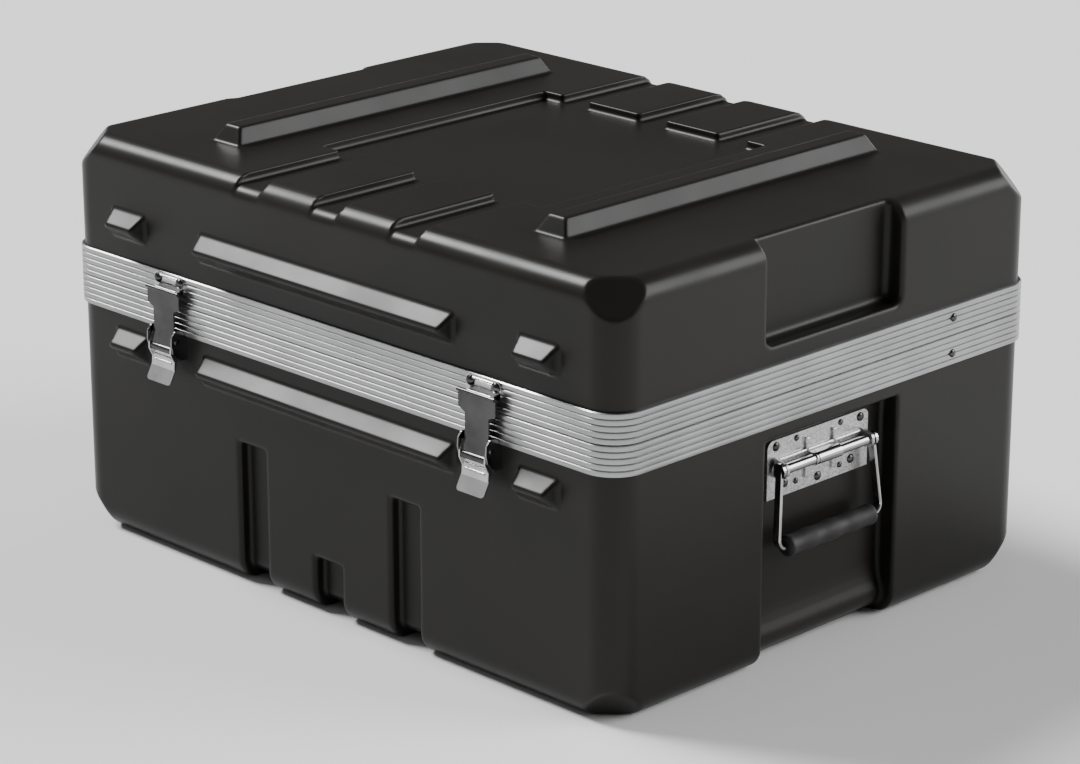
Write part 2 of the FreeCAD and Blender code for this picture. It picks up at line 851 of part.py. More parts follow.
def make_bracket(name, middle, rivets):
    """Channel on the base whose two cheeks carry the lever."""
    face, pivot, _ = latch_levels()
    sheet = Cells.latch_sheet
    outer = Cells.cheek_inner + Cells.cheek_thick
    below_valance = Cells.parting - Cells.seam / 2 - Cells.valance_half - 0.4
    low = pivot[1] - 21
    plate = block(f"{name}_plate", pair(middle, outer), (face - sheet, face), (low, below_valance))
    rounded = soften(f"{name}_corners", plate, 3, all_of(runs_along(Y), lies_at(Z, low)))
    proud = face - Cells.valance_stand - 0.6
    outline = [
        (face - 1, low + 2),
        (face - 1, below_valance),
        (proud, below_valance),
        (proud, pivot[1] + 6.5),
        (proud - 3, pivot[1] + 9.5),
        (pivot[0] - 1.5, pivot[1] + 9.5),
        (pivot[0] - 5.5, pivot[1] + 5),
        (pivot[0] - 6, pivot[1] - 3),
        (pivot[0] - 4, pivot[1] - 11),
        (pivot[0] + 4, pivot[1] - 19),
    ]
    parts = [rounded]
    for side, sign in SIDES.items():
        low_x = middle + sign * Cells.cheek_inner - (Cells.cheek_thick if sign < 0 else 0)
        cheek = side_plate(f"{name}_cheek_{side}", outline, low_x, Cells.cheek_thick)
        parts.append(soften(f"{name}_cheek_{side}_round", cheek, 1.2, runs_along(X)))
    hole = rod(f"{name}_hole", X, (middle - 30, *pivot), "latch_pin_radius", "60")
    return cut(f"{name}_body", join(f"{name}_joined", *parts), hole, rivets)


def lever_frame(along, out):
    """Point (y, z) at a distance along the lever from its pivot and out from its mid line."""
    _, pivot, _ = latch_levels()
    slope = math.radians(Cells.lever_slope)
    down = (-math.sin(slope), -math.cos(slope))
    outward = (-math.cos(slope), math.sin(slope))
    return tuple(pivot[i] + along * down[i] + out * outward[i] for i in (0, 1))


def make_lever(name, middle):
    """Lever: two arms on the cheeks' rivets, a ribbed plate across them and a bent finger lip."""
    _, pivot, pin = latch_levels()
    sheet = Cells.latch_sheet
    start, end = Cells.lever_plate_start, Cells.lever_plate_end
    wide, outer = Cells.lever_lip_half, Cells.lever_arm_outer
    arm_outline = [
        lever_frame(-3.5, -2.6),
        lever_frame(-3.5, 2.6),
        lever_frame(6, 5),
        lever_frame(12, 5),
        lever_frame(start + 6, 0.5),
        lever_frame(end, 0.5),
        lever_frame(end, -sheet),
        lever_frame(start + 4, -4),
        lever_frame(6, -3.4),
    ]
    parts = []
    for side, sign in SIDES.items():
        low = middle + sign * outer - (sheet if sign > 0 else 0)
        arm = side_plate(f"{name}_arm_{side}", arm_outline, low, sheet)
        parts.append(soften(f"{name}_arm_{side}_round", arm, 0.7, runs_along(X)))
    plate_outline = [
        lever_frame(start, 0.5),
        lever_frame(end, 0.5),
        lever_frame(end, 0.5 - sheet),
        lever_frame(start, 0.5 - sheet),
    ]
    parts.append(side_plate(f"{name}_plate", plate_outline, middle - outer, 2 * outer))
    for index, along in enumerate((start + 3.4, start + 8)):
        bar = (middle - 11.5, *lever_frame(along, 0.3))
        parts.append(rod(f"{name}_bar_{index}", X, bar, "1.2", "23"))
    slope = math.radians(Cells.lever_lip_slope)
    bend = lever_frame(end, 0.5)
    tip = (bend[0] - Cells.lever_lip * math.sin(slope), bend[1] - Cells.lever_lip * math.cos(slope))
    back = (sheet * math.cos(slope), -sheet * math.sin(slope))
    lip_outline = [
        bend,
        tip,
        (tip[0] + back[0], tip[1] + back[1]),
        (bend[0] + back[0], bend[1] + back[1]),
        (bend[0] + sheet, bend[1] + 0.6),
        (bend[0], bend[1] + 0.6),
    ]
    lip = side_plate(f"{name}_lip", lip_outline, middle - wide, 2 * wide)
    reach = Cells.case_length
    corner = within((-reach, tip[0] - 0.1, tip[1] - 2), (reach, tip[0] + 2, tip[1] + 0.1))
    lip = soften(f"{name}_lip_round", lip, 3.6, lambda e: corner(e) and not runs_along(X)(e))
    body = join(f"{name}_joined", *parts, lip)
    radius = "latch_pin_radius + pin_clearance"
    pivot_hole = rod(f"{name}_pivot_hole", X, (middle - 30, *pivot), radius, "60")
    pin_hole = rod(f"{name}_pin_hole", X, (middle - 30, *pin), "latch_pin_radius", "60")
    return cut(f"{name}_body", body, pivot_hole, pin_hole)


def make_pivot_rivets(name, middle):
    """Two short rivets, one in each cheek, that the lever turns on."""
    _, pivot, _ = latch_levels()
    outer = Cells.cheek_inner + Cells.cheek_thick
    depth = outer - Cells.lever_arm_outer + Cells.latch_sheet
    radius = Cells.latch_pin_radius
    shapes = []
    for sign in (-1, 1):
        origin = (middle + sign * outer, *pivot)
        shapes.append(rivet(origin, (sign, 0, 0), (3, 1.3), radius, depth))
    return solid(f"{name}_body", Part.makeCompound(shapes))


def make_hasp_pin(name, middle):
    """Pin held in the lever's arms, which the hasp hangs on."""
    _, _, pin = latch_levels()
    half = Cells.lever_arm_outer
    return rod(f"{name}_body", X, (middle - half, *pin), "latch_pin_radius", 2 * half)


def make_hasp(name, middle):
    """Hasp: a T-shaped plate with a rolled head, a slight bend and a knuckle on the hasp pin."""
    face, _, pin = latch_levels()
    sheet = Cells.latch_sheet
    neck, head = Cells.hasp_half_neck, Cells.hasp_half_head
    bend, low, high, top = (
        Cells.hasp_bend_level,
        Cells.hasp_shoulder_low,
        Cells.hasp_shoulder_high,
        Cells.hasp_top,
    )
    back = face - Cells.hasp_stand
    right = [(neck, bend), (neck, low), (head, high), (head, top)]
    outline = right + [(-x, z) for x, z in reversed(right)]
    plate = extruded(f"{name}_head", outline, sheet, FRONT, (middle, back, 0))
    knuckle = rod(f"{name}_knuckle", X, (middle - neck, *pin), "latch_pin_radius + 1.3", 2 * neck)
    lower = [
        (back, bend + 0.6),
        (back - sheet, bend + 0.6),
        (pin[0] - 1.6, pin[1] + 1.5),
        (pin[0] + 0.1, pin[1] + 1.5),
    ]
    arm = side_plate(f"{name}_neck", lower, middle - neck, 2 * neck)
    roll = rod(f"{name}_roll", X, (middle - head, back - sheet - 0.3, top), "1.9", 2 * head)
    hole = rod(f"{name}_hole", X, (middle - 30, *pin), "latch_pin_radius + pin_clearance", "60")
    return cut(f"{name}_body", join(f"{name}_joined", plate, knuckle, arm, roll), hole)


# ---------------------------------------------------------------- end handles


def bail_pivot():
    return Cells.bail_pivot_reach, Cells.bail_pivot_level


def handle_rivets():
    """Large and small rivets of the right end's handle plate, through the recess floor."""
    face = Cells.case_length / 2 - Cells.pocket_depth
    thick = Cells.handle_plate_thick
    grip = thick + Cells.wall
    large = [(-54.8, 191.2), (54.8, 191.2), (-43, 155.7), (43, 155.7), (0, 150.9)]
    small = [(y, z) for y in (-28.6, 28.6) for z in (192.7, 153.9)]
    out = (1, 0, 0)
    shapes = [rivet((face + thick, y, z), out, (4.2, 2.2), 2.4, grip, 1.2) for y, z in large]
    shapes += [rivet((face + thick, y, z), out, (2.9, 1.8), 1.6, grip, 1.2) for y, z in small]
    return shapes


def make_handle_plate(name, rivets):
    """Plate with a raised channel, pressed beads and two pivot ears.

    The plate itself is a sketch of its outline, padded by the sheet's thickness.
    """
    face = Cells.case_length / 2 - Cells.pocket_depth
    thick = Cells.handle_plate_thick
    low, high = "handle_plate_low", "handle_plate_high"
    ends = (("-", low), ("", low), ("", high), ("-", high))
    outline = [(f"{sign}handle_plate_half", up) for sign, up in ends]
    body = padded(f"{name}_sheet", "YZ_Plane", [outline], "handle_plate_thick")
    body.setExpression("Placement.Base.x", cells("case_length / 2 - pocket_depth"))
    plate = soften(f"{name}_corners", body, 7, all_of(runs_along(X), lies_at(Z, Cells.handle_plate_high)))
    pivot_x, pivot_z = bail_pivot()
    front = face + thick
    raised = block(f"{name}_channel", (face, front + 2.6), pair("0", "57"), (pivot_z - 8, pivot_z + 8))
    raised = soften(f"{name}_channel_round", raised, 2, lies_at(X, front + 2.6))
    parts = [plate, raised]
    for bead, y in enumerate((-16, 19)):
        bar = block(f"{name}_bead_{bead}", (face, front + 2.9), pair(y, "2.4"), pair(pivot_z, "18.5"))
        parts.append(soften(f"{name}_bead_{bead}_round", bar, 2, lies_at(X, front + 2.9)))
    for side, sign in SIDES.items():
        ear = [
            (front + 0.5, pivot_z - 9),
            (pivot_x + 6.5, pivot_z - 5),
            (pivot_x + 6.5, pivot_z + 5),
            (front + 0.5, pivot_z + 9),
        ]
        low_y = sign * Cells.ear_offset - Cells.ear_thick / 2
        blank = extruded(f"{name}_ear_{side}", ear, Cells.ear_thick, FRONT, (0, low_y + Cells.ear_thick, 0))
        tips = all_of(runs_along(Y), lies_at(X, pivot_x + 6.5))
        parts.append(soften(f"{name}_ear_{side}_round", blank, 4.6, tips))
    hole = rod(f"{name}_hole", Y, (pivot_x, "-80", pivot_z), "bail_radius + pin_clearance", "160")
    return cut(f"{name}_body", join(f"{name}_joined", *parts), hole, rivets)


def make_knuckle(name):
    """Tube and wider sleeve round the bail's two ends, on a foot on the plate's raised channel."""
    pivot_x, pivot_z = bail_pivot()
    face = Cells.case_length / 2 - Cells.pocket_depth + Cells.handle_plate_thick + 2.6
    tube = rod(f"{name}_tube", Y, (pivot_x, "-tube_half", pivot_z), "tube_radius", "2 * tube_half")
    start = (pivot_x, "-knuckle_half", pivot_z)
    sleeve = rod(f"{name}_sleeve", Y, start, "knuckle_radius", "2 * knuckle_half")
    sleeve = soften(f"{name}_sleeve_ends", sleeve, 0.8, lambda e: e.Curve.TypeId == "Part::GeomCircle")
    groove = rod(f"{name}_ring", Y, (pivot_x, "-knuckle_half + 1.8", pivot_z), "knuckle_radius + 1", "1.6")
    core = rod(f"{name}_core", Y, start, "tube_radius + 0.6", "6")
    ringed = cut(f"{name}_ringed", sleeve, cut(f"{name}_ring_cut", groove, core))
    foot = block(f"{name}_foot", (face, pivot_x), pair("0", "knuckle_half - 4"), pair(pivot_z, "4"))
    hole = rod(f"{name}_hole", Y, (pivot_x, "-80", pivot_z), "bail_radius + pin_clearance", "160")
    return cut(f"{name}_body", join(f"{name}_joined", tube, ringed, foot), hole)


def leg_path(reach):
    """Middle line of the right leg: down from the pivot, round a bend and in to the end of the grip."""
    bend = Cells.bail_bend
    top, corner = Vector(Cells.bail_half_pivot, 0, 0), Vector(Cells.bail_half_grip, -reach, 0)
    end = Vector(Cells.grip_half + 0.5, -reach, 0)
    back, ahead = (top - corner).normalize(), (end - corner).normalize()
    half_angle = back.getAngle(ahead) / 2
    leave = bend / math.tan(half_angle)
    first, last = corner + back * leave, corner + ahead * leave
    middle = corner + (back + ahead).normalize() * (bend / math.sin(half_angle) - bend)
    edges = [
        Part.LineSegment(top, first).toShape(),
        Part.Arc(first, middle, last).toShape(),
        Part.LineSegment(last, end).toShape(),
    ]
    return Part.Wire(edges), back.cross(Vector(0, 0, 1))


def bail_shape():
    """Bail: round bars through the knuckle and the grip, and two flat legs with round eyes."""
    pivot_x, pivot_z = bail_pivot()
    lean = math.degrees(math.atan2(Cells.bail_lean, Cells.bail_drop))
    reach = math.hypot(Cells.bail_lean, Cells.bail_drop)
    near, radius = Cells.bail_half_pivot, Cells.bail_radius
    thin, deep, edge = Cells.bail_leg_thick / 2, Cells.bail_leg_deep / 2, 0.8
    path, side = leg_path(reach)
    quarter = [(thin, deep - edge), (thin - edge, deep)]
    right = quarter + [(-u, v) for u, v in reversed(quarter)]
    section = right + [(-u, -v) for u, v in right]
    points = [Vector(near, 0, 0) + side * u + Vector(0, 0, v) for u, v in section]
    leg = path.makePipeShell([Part.makePolygon(points + points[:1])], True, False)
    across = Vector(1, 0, 0)
    eye = Part.makeCylinder(Cells.bail_eye_radius, 2 * thin, Vector(near - thin, 0, 0), across)
    half = leg.fuse(eye)
    inside = Cells.grip_half + 1
    upper = Part.makeCylinder(radius, 2 * near, Vector(-near, 0, 0), across)
    lower = Part.makeCylinder(radius, 2 * inside, Vector(-inside, -reach, 0), across)
    bail = upper.fuse([lower, half, half.mirror(Vector(), across)]).removeSplitter().Solids[0]
    leaning = Placement(Vector(pivot_x, 0, pivot_z), Rotation(Vector(0, 1, 0), -lean))
    bail.Placement = leaning * Placement(Vector(), ACROSS)
    return bail


def grip_shape():
    """Rubber grip: a waisted sleeve on the bail's lower bar, with shallow finger hollows."""
    pivot_x, pivot_z = bail_pivot()
    half, full, waves = Cells.grip_half, Cells.grip_radius, 4
    hole = Cells.bail_radius
    steps = 32
    swell = []
    for step in range(steps + 1):
        along = -half + 2 * half * step / steps
        end = min(1, (half - abs(along)) / 4)
        rounding = math.sqrt(max(0, 1 - (1 - end) ** 2))
        wave = 0.45 * math.cos(2 * math.pi * waves * along / (2 * half))
        swell.append(Vector(along, hole + 2 + (full - hole - 2 - 0.45 + wave) * rounding, 0))
    curve = Part.BSplineCurve()
    curve.interpolate(swell)
    first, last = swell[0], swell[-1]
    edges = [
        curve.toShape(),
        Part.LineSegment(last, Vector(half, hole, 0)).toShape(),
        Part.LineSegment(Vector(half, hole, 0), Vector(-half, hole, 0)).toShape(),
        Part.LineSegment(Vector(-half, hole, 0), first).toShape(),
    ]
    sleeve = Part.Face(Part.Wire(edges)).revolve(Vector(), Vector(1, 0, 0), 360)
    middle = Vector(pivot_x + Cells.bail_lean, 0, pivot_z - Cells.bail_drop)
    sleeve.Placement = Placement(middle, Rotation(Vector(0, 0, 1), 90))
    return sleeve


# ---------------------------------------------------------------- rear hinges


def hinge_axis():
    return Cells.case_width / 2 + Cells.hinge_axis_reach, Cells.parting


def hinge_rivets(middle, sign):
    """Three rivets of one leaf through the valance and the shell; sign is +1 on the lid."""
    face = Cells.case_width / 2 + Cells.valance_stand
    sheet = Cells.hinge_sheet
    level = Cells.parting + sign * 20.5
    through = sheet + Cells.valance_stand + Cells.wall
    places = (-22, 0, 22)
    return [rivet((middle + x, face + sheet, level), (0, 1, 0), (3.6, 1.8), 2, through, 1) for x in places]


def make_leaf(name, middle, sign, rivets):
    """Hinge leaf on one valance, with its share of the barrel; the lid's is the middle knuckle."""
    axis_y, axis_z = hinge_axis()
    face = Cells.case_width / 2 + Cells.valance_stand
    sheet = Cells.hinge_sheet
    half, knuckle, gap = Cells.hinge_half, Cells.hinge_knuckle / 2, Cells.hinge_gap
    near, far = sorted((axis_z + sign * 5.2, axis_z + sign * 26.4))
    plate = block(f"{name}_plate", pair(middle, "hinge_half"), (face, face + sheet), (near, far))
    plate = soften(f"{name}_corners", plate, 4, all_of(runs_along(Y), lies_at(Z, axis_z + sign * 26.4)))
    parts = [plate]
    spans = [(-knuckle, knuckle)] if sign > 0 else [(-half, -knuckle - gap), (knuckle + gap, half)]
    for index, (low, high) in enumerate(spans):
        start = (middle + low, axis_y, axis_z)
        parts.append(rod(f"{name}_barrel_{index}", X, start, "hinge_barrel_radius", high - low))
        wrap_low, wrap_high = sorted((axis_z, axis_z + sign * 6))
        wrap = block(
            f"{name}_wrap_{index}",
            (middle + low, middle + high),
            (face, face + sheet),
            (wrap_low, wrap_high),
        )
        parts.append(wrap)
    hole = rod(f"{name}_hole", X, (middle - 40, axis_y, axis_z), "hinge_pin_radius + pin_clearance", "80")
    return cut(f"{name}_body", join(f"{name}_joined", *parts), hole, rivets)


def make_hinge_pin(name, middle):
    """Pin through the barrel, with a small head at each end."""
    axis_y, axis_z = hinge_axis()
    half, radius = Cells.hinge_half, Cells.hinge_pin_radius
    head = radius + 1
    profile = [
        (-half - 1.2, 0),
        (-half - 1.2, head),
        (-half, head),
        (-half, radius),
        (half, radius),
        (half, head),
        (half + 1.2, head),
        (half + 1.2, 0),
    ]
    return solid(f"{name}_body", turned(profile, (middle, axis_y, axis_z), (1, 0, 0)))


# ---------------------------------------------------------------- lid stays


def stay_geometry():
    """Where the links turn, their length and their angle at rest.

    At the lid's open limit the two links lie in line, so their length follows from that angle.
    """
    axis_y, axis_z = hinge_axis()
    low = (Cells.stay_setback, Cells.parting - Cells.stay_rise)
    high = (Cells.stay_setback, Cells.parting + Cells.stay_rise)
    angle = math.radians(Cells.stay_open_angle)
    dy, dz = high[0] - axis_y, high[1] - axis_z
    opened = (
        axis_y + dy * math.cos(angle) + dz * math.sin(angle),
        axis_z - dy * math.sin(angle) + dz * math.cos(angle),
    )
    length = math.hypot(opened[0] - low[0], opened[1] - low[1]) / 2
    tilt = math.degrees(math.asin(Cells.stay_rise / length))
    elbow = (low[0] - length * math.cos(math.radians(tilt)), Cells.parting)
    opened_tilt = math.degrees(math.atan2(opened[1] - low[1], opened[0] - low[0]))
    travel = 180 - tilt - opened_tilt
    return low, high, elbow, length, tilt, travel


def link_shape(length, hole):
    """Flat link with round ends and a hole in each, lying along its own X from the first hole."""
    half, thick = Cells.stay_width / 2, Cells.stay_thick
    edges = [
        Part.LineSegment(Vector(0, -half, 0), Vector(length, -half, 0)).toShape(),
        Part.Arc(Vector(length, -half, 0), Vector(length + half, 0, 0), Vector(length, half, 0)).toShape(),
        Part.LineSegment(Vector(length, half, 0), Vector(0, half, 0)).toShape(),
        Part.Arc(Vector(0, half, 0), Vector(-half, 0, 0), Vector(0, -half, 0)).toShape(),
    ]
    link = Part.Face(Part.Wire(edges)).extrude(Vector(0, 0, thick))
    for middle in (0, length):
        link = link.cut(Part.makeCylinder(hole, thick + 2, Vector(middle, 0, -1)))
    return link


def stay_planes():
    """Inner face of the end wall, and the low X of the lower and the upper link on the right."""
    wall = Cells.case_length / 2 - Cells.wall
    lip = Cells.valance_lip_thick + 0.5
    lower = wall - lip - Cells.stay_thick
    return wall, lower, lower - Cells.stay_gap - Cells.stay_thick


def make_stay(name, upper):
    """One link of the right-hand stay, from its rivet to the elbow."""
    low, high, _, length, tilt, _ = stay_geometry()
    _, lower_x, upper_x = stay_planes()
    pivot = high if upper else low
    down = -tilt if upper else tilt
    slope = Rotation(Vector(1, 0, 0), 180 - down)
    shape = link_shape(length, Cells.stay_rivet_radius + Cells.pin_clearance)
    shape.Placement = Placement(Vector(upper_x if upper else lower_x, *pivot), slope * ACROSS)
    return solid(f"{name}_body", shape)


def make_elbow_pin(name):
    """Headed pin in the upper link's free end; it stops short of the lower link."""
    _, _, elbow, _, _, _ = stay_geometry()
    _, _, upper_x = stay_planes()
    radius, thick = Cells.stay_rivet_radius, Cells.stay_thick
    profile = [(-1.6, 0), (-1.6, radius + 1.6), (0, radius + 1.6), (0, radius), (thick, radius), (thick, 0)]
    return solid(f"{name}_body", turned(profile, (upper_x, *elbow), (1, 0, 0)))


def stay_rivet(pivot, link_x):
    """Shouldered rivet: domed outside the valance, a shoulder inside, then the link and a head."""
    wall, _, _ = stay_planes()
    outside = Cells.case_length / 2 + Cells.valance_stand
    radius, thick = Cells.stay_rivet_radius, Cells.stay_thick
    shoulder, head = radius + 2, radius + 1.8
    link_face = link_x + thick
    profile = [
        (link_x - 1.2 - 0.1, 0),
        (link_x - 1.2 - 0.1, head),
        (link_x - 0.1, head),
        (link_x - 0.1, radius),
        (link_face + 0.1, radius),
        (link_face + 0.1, shoulder),
        (wall, shoulder),
        (wall, radius),
        (outside, radius),
    ]
    profile += [(outside + height, reach) for height, reach in dome(4, 2)[:-1]] + [(outside + 2, 0)]
    return turned(profile, (0, *pivot), (1, 0, 0))



# ---------------------------------------------------------------- shock-mounted 19-inch frame


def bolt(origin, axis, shank, head, grip, nut):
    """Hexagon bolt and its nut: the head stands on the origin, the shank goes the other way.

    Head and nut are (half width over corners, height).
    """
    angles = [math.pi / 3 * step for step in range(6)]

    def hexagon(size, low):
        corners = [(size[0] * math.cos(turn), size[0] * math.sin(turn), low) for turn in angles]
        return face_of(corners).extrude(Vector(0, 0, size[1]))

    body = Part.makeCylinder(shank, grip, Vector(0, 0, -grip)).fuse(hexagon(head, 0))
    if nut:
        body = body.fuse(hexagon(nut, -grip - nut[1]))
    body.Placement = Placement(Vector(*origin), Rotation(Vector(0, 0, 1), Vector(*axis)))
    return body.removeSplitter()


def make_rail(name):
    """Rack rail: an angle whose flange has the three holes of every rack unit."""
    inner, outer = "rack_half_opening", "rack_half_outside"
    top, sheet = "rail_top", "rack_sheet"
    outline = [
        (inner, f"{top} - {sheet}"),
        (f"{outer} - {sheet}", f"{top} - {sheet}"),
        (f"{outer} - {sheet}", f"{top} - rail_height"),
        (outer, f"{top} - rail_height"),
        (outer, top),
        (inner, top),
    ]
    body = padded(name, "XZ_Plane", [outline], "rack_units * rack_unit", True)
    low = "-rack_units * rack_unit / 2"
    offsets = ("rack_edge_hole", "rack_middle_hole", "rack_unit - rack_edge_hole")
    circles = [("rack_half_pitch", f"{low} + {offset}", "rack_hole_radius") for offset in offsets]
    holes = sketch_on(body, f"{name}_holes", "XY_Plane", circles)
    pocket = body.newObject("PartDesign::Pocket", f"{name}_pocket")
    pocket.Profile = holes
    pocket.Type = "ThroughAll"
    pocket.Reversed = True
    rows = body.newObject("PartDesign::LinearPattern", f"{name}_rows")
    rows.Originals = [pocket]
    along = [part for part in body.Origin.OriginFeatures if part.Role == "Y_Axis"][0]
    rows.Direction = (along, [""])
    rows.setExpression("Length", cells("rack_unit * (rack_units - 1)"))
    rows.setExpression("Occurrences", cells("rack_units"))
    body.Tip = rows
    return body


def rail_bolt_places():
    """(y, z) of the bolts that hold one rail to its side plate."""
    level = Cells.rail_top - Cells.rail_height * 0.6
    return [(y, level) for y in (-190, -64, 64, 190)]


def make_side(name, bolts):
    """Side plate with two windows, and a foot flange turned out over the crossbars."""
    half, high, low = "rack_units * rack_unit / 2", "rail_top - rack_sheet - 1", "frame_low"
    border, level = "window_border", "window_low"
    outline = [(f"-{half}", low), (half, low), (half, high), (f"-{half}", high)]
    windows = []
    for near, far in ((f"-{half} + {border}", f"-{border} / 2"), (f"{border} / 2", f"{half} - {border}")):
        top = f"rail_top - rail_height - {border} / 2"
        windows.append([(near, level), (far, level), (far, top), (near, top)])
    body = padded(f"{name}_sheet", "YZ_Plane", [outline] + windows, "side_sheet")
    body.setExpression("Placement.Base.x", cells("rack_half_outside"))
    DOC.recompute()
    inside = all_of(runs_along(X), lambda e: abs(e.Vertexes[0].Point.z - Cells.frame_low) > 1)
    plate = soften(f"{name}_corners", body, 8, inside)
    flange = block(
        f"{name}_flange",
        ("rack_half_outside", "rack_half_outside + tube"),
        pair("0", half),
        ("frame_low", "frame_low + side_sheet"),
    )
    outer_corners = all_of(runs_along(Z), lies_at(X, Cells.rack_half_outside + Cells.tube))
    flange = soften(f"{name}_flange_corners", flange, 6, outer_corners)
    return cut(f"{name}_body", join(f"{name}_joined", plate, flange), bolts)


def make_crossbar(name, sign, bolts):
    """Channel, open below, that runs from side plate to side plate over two shock mounts."""
    middle = f"{sign} * mount_offset_y"
    length = "rack_half_outside + tube"
    levels = ("frame_low - tube", "frame_low")
    outside = block(f"{name}_outside", pair("0", length), pair(middle, "crossbar_half"), levels)
    rounded = soften(f"{name}_edges", outside, 3, all_of(runs_along(X), lies_at(Z, Cells.frame_low)))
    hollow = block(
        f"{name}_hollow",
        pair("0", f"{length} + 1"),
        pair(middle, "crossbar_half - rack_sheet"),
        ("frame_low - tube - 1", "frame_low - rack_sheet"),
    )
    return cut(f"{name}_body", cut(f"{name}_open", rounded, hollow), bolts)


def mount_places():
    return [(sx * Cells.mount_offset_x, sy * Cells.mount_offset_y) for sx in (-1, 1) for sy in (-1, 1)]


def mount_levels():
    """Floor inside the base, and the underside of the crossbar's web."""
    return Cells.wall, Cells.frame_low - Cells.rack_sheet


def frame_bolts():
    """Bolts through the side plates' flanges and the crossbars, with nuts below."""
    top = Cells.frame_low + Cells.side_sheet
    grip = Cells.side_sheet + Cells.rack_sheet
    reach = Cells.rack_half_outside + Cells.tube * 0.6
    shapes = []
    for x in (-reach, reach):
        for y in (-Cells.mount_offset_y, Cells.mount_offset_y):
            for shift in (-7, 7):
                shapes.append(bolt((x, y + shift, top), (0, 0, 1), 2.5, (4.6, 3.5), grip, (4.6, 3.5)))
    return shapes


def rail_bolts():
    """Bolts through the rails' webs and the side plates, heads inside and nuts outside."""
    inside = Cells.rack_half_outside - Cells.rack_sheet
    grip = Cells.rack_sheet + Cells.side_sheet
    return [
        bolt((sign * inside, y, z), (-sign, 0, 0), 2.5, (4.6, 3), grip, (4.6, 3.5))
        for sign in (-1, 1)
        for y, z in rail_bolt_places()
    ]


def mount_bolts():
    """Bolts from the crossbars down into the shock mounts."""
    depth = Cells.rack_sheet + Cells.mount_plate_thick + 8
    return [
        bolt((x, y, Cells.frame_low), (0, 0, 1), Cells.bolt_radius, (7.2, 5), depth, None)
        for x, y in mount_places()
    ]


def floor_screws():
    """Countersunk screws, flush with the underside, up through the floor into the shock mounts."""
    radius, depth = Cells.bolt_radius, Cells.wall + Cells.mount_plate_thick + 8
    profile = [(0, 0), (0, radius + 3.6), (3.6, radius), (depth, radius), (depth, 0)]
    return [turned(profile, (x, y, 0), (0, 0, 1)) for x, y in mount_places()]


def mount_plates():
    """Square steel plates bonded to both ends of every shock mount."""
    half, thick, corner = Cells.mount_radius + 2, Cells.mount_plate_thick, 5
    deep = Cells.crossbar_half - 2.5
    low, high = mount_levels()
    shapes = []
    for x, y in mount_places():
        for level in (low, high - thick):
            plate = Part.makeBox(2 * half, 2 * deep, thick, Vector(x - half, y - deep, level))
            upright = [edge for edge in plate.Edges if runs_along(Z)(edge)]
            shapes.append(plate.makeFillet(corner, upright))
    return shapes


def shock_mount(x, y, bolts):
    """Rubber body with a waist, bored for the bolts from above and below."""
    low, high = mount_levels()
    thick, radius = Cells.mount_plate_thick, Cells.mount_rubber_radius
    bottom, top = low + thick, high - thick
    waist = radius - 2.5
    start, end = Vector(radius, bottom, 0), Vector(radius, top, 0)
    edges = [
        Part.LineSegment(Vector(0, bottom, 0), start).toShape(),
        Part.Arc(start, Vector(waist, (bottom + top) / 2, 0), end).toShape(),
        Part.LineSegment(end, Vector(0, top, 0)).toShape(),
        Part.LineSegment(Vector(0, top, 0), Vector(0, bottom, 0)).toShape(),
    ]
    body = Part.Face(Part.Wire(edges)).revolve(Vector(), Vector(0, 1, 0), 360)
    body.Placement = Placement(Vector(x, y, 0), Rotation(Vector(1, 0, 0), 90))
    return body.cut(bolts)


# ---------------------------------------------------------------- the case


def compound(shapes):
    return Part.makeCompound(shapes)


def flipped(shapes):
    """The same shapes and their twins at the left end."""
    return shapes + [shape.mirror(Vector(), Vector(1, 0, 0)) for shape in shapes]


def build_latches():
    """Both draw latches; gives back their rivets, those in the base and those in the lid."""
    brackets, keepers = [], []
    for sign in SIDES.values():
        bracket, keeper = latch_rivets(sign * Cells.latch_offset)
        brackets += bracket
        keepers += keeper
    base_set = node("latch_bracket_rivets", solid("bracket_rivet_set", compound(brackets)))
    lid_set = node("latch_keeper_rivets", solid("keeper_rivet_set", compound(keepers)))
    for side, sign in SIDES.items():
        name, middle = f"latch_{side}", sign * Cells.latch_offset
        node(f"{name}_keeper", make_keeper(f"{name}_k", middle, lid_set))
        node(f"{name}_bracket", make_bracket(f"{name}_b", middle, base_set))
        node(f"{name}_lever", make_lever(f"{name}_l", middle))
        node(f"{name}_pivot_rivets", make_pivot_rivets(f"{name}_r", middle))
        node(f"{name}_hasp", make_hasp(f"{name}_h", middle))
        node(f"{name}_hasp_pin", make_hasp_pin(f"{name}_p", middle))
    return base_set, lid_set


def build_handles():
    rivets = node("handle_rivets", solid("handle_rivet_set", compound(flipped(handle_rivets()))))
    pieces = {
        "plate": make_handle_plate("plate", rivets),
        "knuckle": make_knuckle("knuckle"),
        "bail": solid("bail", bail_shape()),
        "grip": solid("grip", grip_shape()),
    }
    for piece, item in pieces.items():
        node(f"handle_right_{piece}", item)
        node(f"handle_left_{piece}", mirror(f"{piece}_left", item, X))
    return rivets


def build_hinges():
    sets = []
    for sign, part in ((-1, "base"), (1, "lid")):
        shapes = [shape for side in SIDES.values() for shape in hinge_rivets(side * Cells.hinge_offset, sign)]
        sets.append(node(f"hinge_{part}_rivets", solid(f"hinge_{part}_set", compound(shapes))))
    for side, where in SIDES.items():
        middle = where * Cells.hinge_offset
        node(f"hinge_{side}_base_leaf", make_leaf(f"hinge_{side}_b", middle, -1, sets[0]))
        node(f"hinge_{side}_lid_leaf", make_leaf(f"hinge_{side}_l", middle, 1, sets[1]))
        node(f"hinge_{side}_pin", make_hinge_pin(f"hinge_{side}_p", middle))
    return sets


